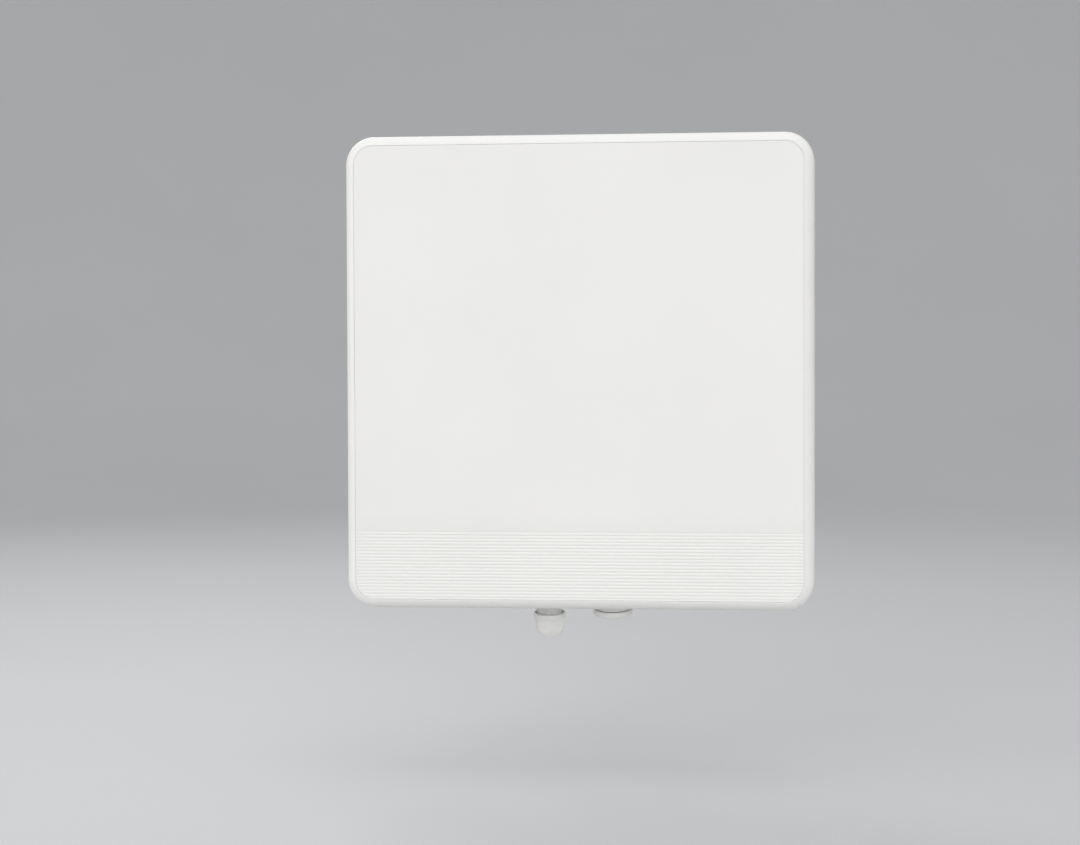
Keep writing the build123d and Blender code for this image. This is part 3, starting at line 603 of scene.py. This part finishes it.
# ---- fasteners ----------------------------------------------------------------
# Lengths are metres; each turn is how far a hexagon stands turned, in radians.
Size = namedtuple("Size", "radius pitch flats head")
M8 = Size(0.00398, 0.00125, 0.013, 0.0053)
M6 = Size(0.003, 0.001, 0.010, 0.004)
M8_NUT, M8_NUT_BORE = 0.0065, 0.00405
WASHER = (0.00425, 0.008, 0.0016)
SHANK_SHARE, ROOT_IN_HEAD = 0.985, 0.3
PIVOT_Y, PIVOT_Z, LOCK_Z = -0.062, 0.022, -0.018
HEAD_SEAT_X, BOLT_INNER_X, NUT_OUTER_X = 0.0531, 0.034, 0.0434
OUTER_WASHER_X, INNER_WASHER_X = 0.0515, 0.0434
SIDE_PLAIN, YOKE_PLAIN = 0.004, 0.003
CLAMP_X = 0.036
CLAMP_HEAD_Y, CLAMP_END_Y, CLAMP_THREAD_Y = -0.036, 0.062, 0.008
JAW_WASHER_Y, CLAMP_NUT_Y = 0.033, 0.03465


def hex_bolt(solid, seat, direction, length, size, plain, turn):
    """A hexagon head on its seat and a shank the other way, threaded past its plain part."""
    outward = Vector(direction)
    solid.add(*hexagon_body(size.flats, size.head, 0), place_along(seat, outward, turn))
    inward = place_along(seat, -outward, turn)
    shank = size.radius * SHANK_SHARE
    rod = turned_form([(shank, -size.head * ROOT_IN_HEAD), (shank, plain + size.pitch)])
    solid.add(*rod, inward)
    solid.add(*threaded_rod(size.radius, size.pitch, plain, length), inward)


def m8_nut(solid, seat, direction, turn):
    nut = hexagon_body(M8.flats, M8_NUT, M8_NUT_BORE, True)
    solid.add(*nut, place_along(seat, direction, turn))


def side_bolts(z, turns):
    solid = Solid()
    for side, turn in zip((-1, 1), turns):
        hex_bolt(solid, (side * HEAD_SEAT_X, PIVOT_Y, z), (side, 0, 0),
                 HEAD_SEAT_X - BOLT_INNER_X, M8, SIDE_PLAIN, turn)
    return solid


def side_nuts(z, turns):
    solid = Solid()
    for side, turn in zip((-1, 1), turns):
        m8_nut(solid, (side * NUT_OUTER_X, PIVOT_Y, z), (-side, 0, 0), turn)
    return solid


def side_washers(z):
    solid = Solid()
    for side in (-1, 1):
        for x in (OUTER_WASHER_X, INNER_WASHER_X):
            solid.add(*washer_form(*WASHER), place_along((side * x, PIVOT_Y, z), (side, 0, 0)))
    return solid


for group, z, turns in (("pivot", PIVOT_Z, (0.30, 0.85)), ("lock", LOCK_Z, (0.62, 0.12))):
    for form, kind in (
        (side_bolts(z, turns), "_bolts"), (side_nuts(z, turns[::-1]), "_nuts"),
        (side_washers(z), "_washers"),
    ):
        stand_in(form.build(group + kind + "_finished"), group + kind, "pole_bracket")


def clamp_bolts():
    solid = Solid()
    for side, turn in ((-1, 0.2), (1, 0.7)):
        hex_bolt(solid, (side * CLAMP_X, CLAMP_HEAD_Y, 0), (0, -1, 0),
                 CLAMP_END_Y - CLAMP_HEAD_Y, M8, CLAMP_THREAD_Y - CLAMP_HEAD_Y, turn)
    return solid.build("clamp_bolts_finished")


stand_in(clamp_bolts(), "clamp_bolts", "pole_bracket")


def clamp_nut(side, name, turn):
    solid = Solid()
    m8_nut(solid, (side * CLAMP_X, CLAMP_NUT_Y, 0), (0, 1, 0), turn)
    return solid.build(name)


stand_in(clamp_nut(-1, "clamp_nut_left_finished", 0.4), "clamp_nut_left", "clamp_nut_left")
stand_in(clamp_nut(1, "clamp_nut_right_finished", 0.9), "clamp_nut_right", "clamp_nut_right")


def jaw_washers():
    solid = Solid()
    for side in (-1, 1):
        place = place_along((side * CLAMP_X, JAW_WASHER_Y, 0), (0, 1, 0))
        solid.add(*washer_form(*WASHER), place)
    return solid.build("jaw_washers_finished")


stand_in(jaw_washers(), "jaw_washers", "rear_jaw")

YOKE_BOLT_X, YOKE_BOLT_Z, YOKE_HEAD_Y, YOKE_BOLT_END_Y = 0.038, 0.048, -0.0878, -0.102


def yoke_bolts():
    solid = Solid()
    turns = iter((0.15, 0.75, 0.45, 0.95))
    for x in (-YOKE_BOLT_X, YOKE_BOLT_X):
        for z in (-YOKE_BOLT_Z, YOKE_BOLT_Z):
            hex_bolt(solid, (x, YOKE_HEAD_Y, z), (0, 1, 0), YOKE_HEAD_Y - YOKE_BOLT_END_Y,
                     M6, YOKE_PLAIN, next(turns))
    return solid.build("yoke_bolts_finished")


stand_in(yoke_bolts(), "yoke_bolts", "radio_unit")

EARTH_X, EARTH_Z = -0.112, -0.146
EARTH_NUT_Y, EARTH_FREE_Y, EARTH_END_Y, EARTH_ROOT_Y = -0.098, -0.094, -0.081, -0.105
EARTH_NECK, EARTH_THREAD, EARTH_PITCH = 0.0021, 0.0025, 0.0008
EARTH_FLATS, EARTH_BORE, EARTH_TURN = 0.008, 0.00215, 0.25
EARTH_WASHER_OUT, EARTH_WASHER_T = 0.005, 0.001
NECK_OVERLAP, THREAD_OVERLAP = 0.0006, 0.0002


def earth_stud():
    solid = Solid()
    place = place_along((EARTH_X, 0, EARTH_Z), (0, 1, 0))
    neck = [(EARTH_NECK, EARTH_ROOT_Y), (EARTH_NECK, EARTH_FREE_Y + NECK_OVERLAP)]
    solid.add(*turned_form(neck), place)
    thread_y = EARTH_FREE_Y - THREAD_OVERLAP
    solid.add(*threaded_rod(EARTH_THREAD, EARTH_PITCH, thread_y, EARTH_END_Y), place)
    return solid.build("earth_stud_finished")


def earth_nut():
    """The nut and the washer under it, which are one piece."""
    solid = Solid()
    place = place_along((EARTH_X, EARTH_NUT_Y, EARTH_Z), (0, 1, 0), EARTH_TURN)
    solid.add(*hexagon_body(EARTH_FLATS, EARTH_FREE_Y - EARTH_NUT_Y, EARTH_BORE, True), place)
    under = place_along((EARTH_X, EARTH_NUT_Y - EARTH_WASHER_T, EARTH_Z), (0, 1, 0))
    solid.add(*washer_form(EARTH_BORE, EARTH_WASHER_OUT, EARTH_WASHER_T), under)
    return solid.build("earth_nut_finished")


stand_in(earth_stud(), "earth_stud", "radio_unit")
stand_in(earth_nut(), "earth_nut", "radio_unit")

SCREW_HEAD_Y = -0.132
SCREW_PLACES = (0.062, 0.150)   # from the middle of each side
RIM_INSET = 0.0085
BUTTON_R, BUTTON_H, BUTTON_KEY = 0.0039, 0.0026, 0.0026
KEY_MOUTH, KEY_DEPTH, KEY_LEAD = 1.12, 0.0015, 0.0001
SCREW_R, SCREW_PITCH, SCREW_ROOT, SCREW_LENGTH = 0.002, 0.0007, -0.0002, 0.015
TURN_STEP, SIXTH_TURN = 0.61, 1.05


def screw_places():
    """Round the rim of the housing, as the CAD screws stand."""
    across, upward = HALF_W - RIM_INSET, HALF_H - RIM_INSET
    along = [side * at for at in SCREW_PLACES for side in (-1, 1)]
    places = [(x, z) for x in along for z in (-upward, upward)]
    return places + [(x, z) for z in along for x in (-across, across)]


def button_screw(radius, height, key):
    """A low rounded head with a hexagon socket."""
    angles = around(HEX_SIDES)
    crown = [(radius * cos(radians(a)), height * 0.35 + height * 0.65 * sin(radians(a)))
             for a in (0, 18, 36, 52)]
    rings = [[(radius * cos(a), radius * sin(a), 0) for a in angles]]
    rings += [[(r * cos(a), r * sin(a), h) for a in angles] for r, h in crown]
    top = crown[-1][1]
    socket = ((key * KEY_MOUTH, top + 0.00008), (key, top - KEY_LEAD), (key, top - KEY_DEPTH))
    for size, h in socket:
        rings.append([
            (hex_radius(a, size) * cos(a), hex_radius(a, size) * sin(a), h) for a in angles
        ])
    return [p for ring in rings for p in ring], rings_to_faces(len(rings), HEX_SIDES)


def housing_screws():
    solid = Solid()
    for i, (x, z) in enumerate(screw_places()):
        place = place_along((x, SCREW_HEAD_Y, z), (0, 1, 0), (i * TURN_STEP) % SIXTH_TURN)
        solid.add(*button_screw(BUTTON_R, BUTTON_H, BUTTON_KEY), place)
        shank = place_along((x, SCREW_HEAD_Y, z), (0, -1, 0))
        solid.add(*threaded_rod(SCREW_R, SCREW_PITCH, SCREW_ROOT, SCREW_LENGTH), shank)
    return solid.build("housing_screws_finished")


stand_in(housing_screws(), "housing_screws", "radio_unit")


# ---- clamp castings -------------------------------------------------------------
POLE_R = 0.025
TEETH, TOOTH_DEPTH = 66, 0.0007
CASTING_LOW, CASTING_HIGH = -0.03, 0.03
CASTING_HALF = 0.046
CASTING_FOOT, CASTING_WING, CASTING_TIP = 0.033, 0.026, 0.015
WING_X, TIP_X = 0.029, 0.020
CASTING_CORNER, CASTING_EASE = 0.0016, 0.0009
HOLE_R, HOLE_START, HOLE_LENGTH = 0.0045, 0.02, 0.02
POCKET_AT, POCKET_W, POCKET_H = 0.0145, 0.0105, 0.0115
POCKET_CORNER, POCKET_DEPTH = 0.004, 0.0014
SPARE = 0.01                    # added to a cutter so that it ends outside the body
CURVE_STEPS = 5


def rounded_outline(corners, radius):
    """The outline with each corner turned by a short curve."""
    outline = []
    for i, corner in enumerate(corners):
        corner = Vector(corner)
        before = Vector(corners[i - 1]) - corner
        after = Vector(corners[(i + 1) % len(corners)]) - corner
        reach = min(radius, before.length / 2.1, after.length / 2.1)
        start = corner + before.normalized() * reach
        end = corner + after.normalized() * reach
        for k in range(CURVE_STEPS + 1):
            outline.append(tuple(curve_point(start, corner, end, k / CURVE_STEPS)))
    return outline


def prism(outline, low, high):
    solid = Solid()
    area = sum(a[0] * b[1] - b[0] * a[1] for a, b in zip(outline, outline[1:] + outline[:1]))
    if area < 0:
        outline = outline[::-1]
    points = [(x, y, z) for z in (low, high) for x, y in outline]
    solid.add(points, rings_to_faces(2, len(outline)))
    return solid


def carved(name, body, cutters):
    """The body with eased edges, less each cutter."""
    blank = body.build(name + "_blank")
    ease = blank.modifiers.new("ease", "BEVEL")
    ease.width, ease.segments, ease.limit_method = CASTING_EASE, 2, "ANGLE"
    ease.angle_limit = radians(40)
    tools = []
    for cutter in cutters:
        tools.append(cutter.build(name + "_tool"))
        cut = blank.modifiers.new("cut", "BOOLEAN")
        cut.operation, cut.solver, cut.object = "DIFFERENCE", "EXACT", tools[-1]
    graph = bpy.context.evaluated_depsgraph_get()
    mesh = bpy.data.meshes.new_from_object(blank.evaluated_get(graph))
    for scrap in [blank] + tools:
        bpy.data.objects.remove(scrap)
    mesh.name = name
    return linked_piece(name, mesh, CASTING_SHARP)


def toothed_bore():
    outline = []
    for k in range(2 * TEETH):
        a = pi * (k + 0.5) / TEETH
        r = POLE_R + (TOOTH_DEPTH if k % 2 else 0)
        outline.append((r * cos(a), r * sin(a)))
    return prism(outline, CASTING_LOW - SPARE, CASTING_HIGH + SPARE)


def bolt_holes(side):
    holes = Solid()
    for x in (-CLAMP_X, CLAMP_X):
        place = place_along((x, side * HOLE_START, 0), (0, side, 0))
        holes.add(*turned_form([(HOLE_R, 0), (HOLE_R, HOLE_LENGTH)]), place)
    return holes


def relief_pockets():
    """Four shallow pockets in the back of the rear jaw, with a cross of ribs between them."""
    w, h = POCKET_W, POCKET_H
    pocket = prism(rounded_outline([(-w, -h), (w, -h), (w, h), (-w, h)], POCKET_CORNER), 0, SPARE)
    pockets = Solid()
    for x in (-POCKET_AT, POCKET_AT):
        for z in (-POCKET_AT, POCKET_AT):
            place = place_along((x, CASTING_FOOT - POCKET_DEPTH, z), (0, 1, 0))
            pockets.add(pocket.points, pocket.faces, place)
    return pockets


def clamp_casting(side, name):
    """Half of the pole clamp: the front one at side -1, the rear one at side 1."""
    half = CASTING_HALF
    corners = [
        (-half, CASTING_FOOT), (-half, CASTING_WING), (-WING_X, CASTING_WING),
        (-TIP_X, CASTING_TIP), (TIP_X, CASTING_TIP), (WING_X, CASTING_WING),
        (half, CASTING_WING), (half, CASTING_FOOT),
    ]
    outline = [(x, side * y) for x, y in rounded_outline(corners, CASTING_CORNER)]
    cutters = [toothed_bore(), bolt_holes(side)]
    if side > 0:
        cutters.append(relief_pockets())
    return carved(name, prism(outline, CASTING_LOW, CASTING_HIGH), cutters)


stand_in(clamp_casting(-1, "front_saddle_finished"), "front_saddle", "pole_bracket")
stand_in(clamp_casting(1, "rear_jaw_finished"), "rear_jaw", "rear_jaw")

SCALE_STEP, SCALE_SIDE_MARKS = 5, 4
MARK_INNER, MARK_LONG, MARK_SHORT = 0.0449, 0.0472, 0.0464
MARK_HALF, MARK_FOOT_X, MARK_TOP_X = 0.00022, 0.0511, 0.05144


def tilt_scale():
    """Raised marks every five degrees under the slot of each arm, every second one long."""
    solid = Solid()
    for side in (-1, 1):
        for step in range(-SCALE_SIDE_MARKS, SCALE_SIDE_MARKS + 1):
            a = radians(SCALE_STEP * step)
            inner, outer = MARK_INNER, MARK_SHORT if step % 2 else MARK_LONG
            arm = Vector((0, sin(a), -cos(a)))
            across = Vector((0, cos(a), sin(a)))
            points = []
            for x in (MARK_FOOT_X, MARK_TOP_X):
                for r, w in ((inner, -1), (outer, -1), (outer, 1), (inner, 1)):
                    at = arm * r + across * w * MARK_HALF
                    points.append((side * x, PIVOT_Y + at.y, PIVOT_Z + at.z))
            faces = rings_to_faces(2, 4)
            solid.add(points, faces if side > 0 else [f[::-1] for f in faces])
    return solid.build("tilt_scale")


scale = tilt_scale()
paint(scale, "zinc_steel")
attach(scale, "radio_unit")


# ---- stage, lights and camera ---------------------------------------------------
FLOOR_Z = CAD_BOX[0].z - 0.10
BOWL_R, BOWL_BEND, BOWL_TOP = 6.4, 3.2, 4.0
BOWL_MIDDLE, BOWL_INNER_RING = 0.001, 2.0
BOWL_SIDES, BOWL_ROWS = 72, 12


def floor_material():
    s = Shader("studio_floor", (0.57, 0.573, 0.577), 0.62)
    s.colour_between(s.noise(1.6, 2.0), (0.562, 0.565, 0.569), (0.578, 0.581, 0.585))
    s.specular(0.2)
    return s.material


def studio_floor():
    """A pale round floor that curves up into a backdrop on every side."""
    flat = BOWL_R - BOWL_BEND
    profile = [(BOWL_MIDDLE, FLOOR_Z), (BOWL_INNER_RING, FLOOR_Z), (flat, FLOOR_Z)]
    for i in range(1, BOWL_ROWS + 1):
        a = radians(90) * i / BOWL_ROWS
        profile.append((flat + BOWL_BEND * sin(a), FLOOR_Z + BOWL_BEND * (1 - cos(a))))
    profile.append((BOWL_R, FLOOR_Z + BOWL_TOP))
    points, faces = turned_form(profile, BOWL_SIDES, "open")
    floor = new_object("studio_floor", points, [f[::-1] for f in faces], FLOOR_SHARP)
    floor.data.materials.append(floor_material())


studio_floor()

PANEL_AT = Vector((0.0, -0.15, 0.0))
SOFTBOX_SPREAD = radians(75)


def softbox(name, at, size, power):
    """A soft rectangle of light that looks at the panel."""
    data = bpy.data.lights.new(name, "AREA")
    data.shape = "RECTANGLE"
    data.size, data.size_y = size
    data.energy = power
    data.spread = SOFTBOX_SPREAD
    light = bpy.data.objects.new(name, data)
    turn = (PANEL_AT - Vector(at)).to_track_quat("-Z", "Y").to_matrix().to_4x4()
    light.matrix_world = Matrix.Translation(at) @ turn
    bpy.context.scene.collection.objects.link(light)


# The boxes stand clear of the floor, so their own light leaves no hard edge on it.
softbox("key", (-1.3, -3.4, 1.7), (2.2, 2.2), 4.7)
softbox("front", (1.4, -3.5, 0.34), (2.4, 0.9), 4.2)
softbox("left", (-2.9, -1.2, 0.5), (1.4, 1.4), 4.6)
softbox("right", (2.9, -2.0, 0.45), (1.7, 1.3), 3.5)
softbox("top", (0.1, 0.0, 2.6), (2.2, 1.8), 1.6)
softbox("rear", (-1.4, 3.0, 1.6), (1.6, 1.4), 5.0)

world = bpy.data.worlds.new("studio")
world.use_nodes = True
world.node_tree.nodes["Background"].inputs["Color"].default_value = (0.98, 0.985, 1.0, 1)
world.node_tree.nodes["Background"].inputs["Strength"].default_value = 0.84
bpy.context.scene.world = world

scene = bpy.context.scene
scene.view_settings.view_transform = "Standard"
scene.view_settings.look = "None"

CAMERA_AT = (0.1853, -2.0205, 0.0188)
CAMERA_YAW, CAMERA_PITCH, CAMERA_ROLL = radians(6.597), radians(1.77), radians(-0.198)
LENS_MM, SENSOR_MM = 80.0, 36.0


def photo_camera():
    forward = Vector((
        -sin(CAMERA_YAW) * cos(CAMERA_PITCH), cos(CAMERA_YAW) * cos(CAMERA_PITCH),
        -sin(CAMERA_PITCH),
    ))
    level = Vector((cos(CAMERA_YAW), sin(CAMERA_YAW), 0))
    upward = level.cross(forward)
    right = cos(CAMERA_ROLL) * level + sin(CAMERA_ROLL) * upward
    up = cos(CAMERA_ROLL) * upward - sin(CAMERA_ROLL) * level
    data = bpy.data.cameras.new("camera")
    data.lens, data.sensor_width = LENS_MM, SENSOR_MM
    camera = bpy.data.objects.new("camera", data)
    rotation = Matrix((right, up, -forward)).transposed().to_4x4()
    camera.matrix_world = Matrix.Translation(CAMERA_AT) @ rotation
    scene.collection.objects.link(camera)
    scene.camera = camera


photo_camera()
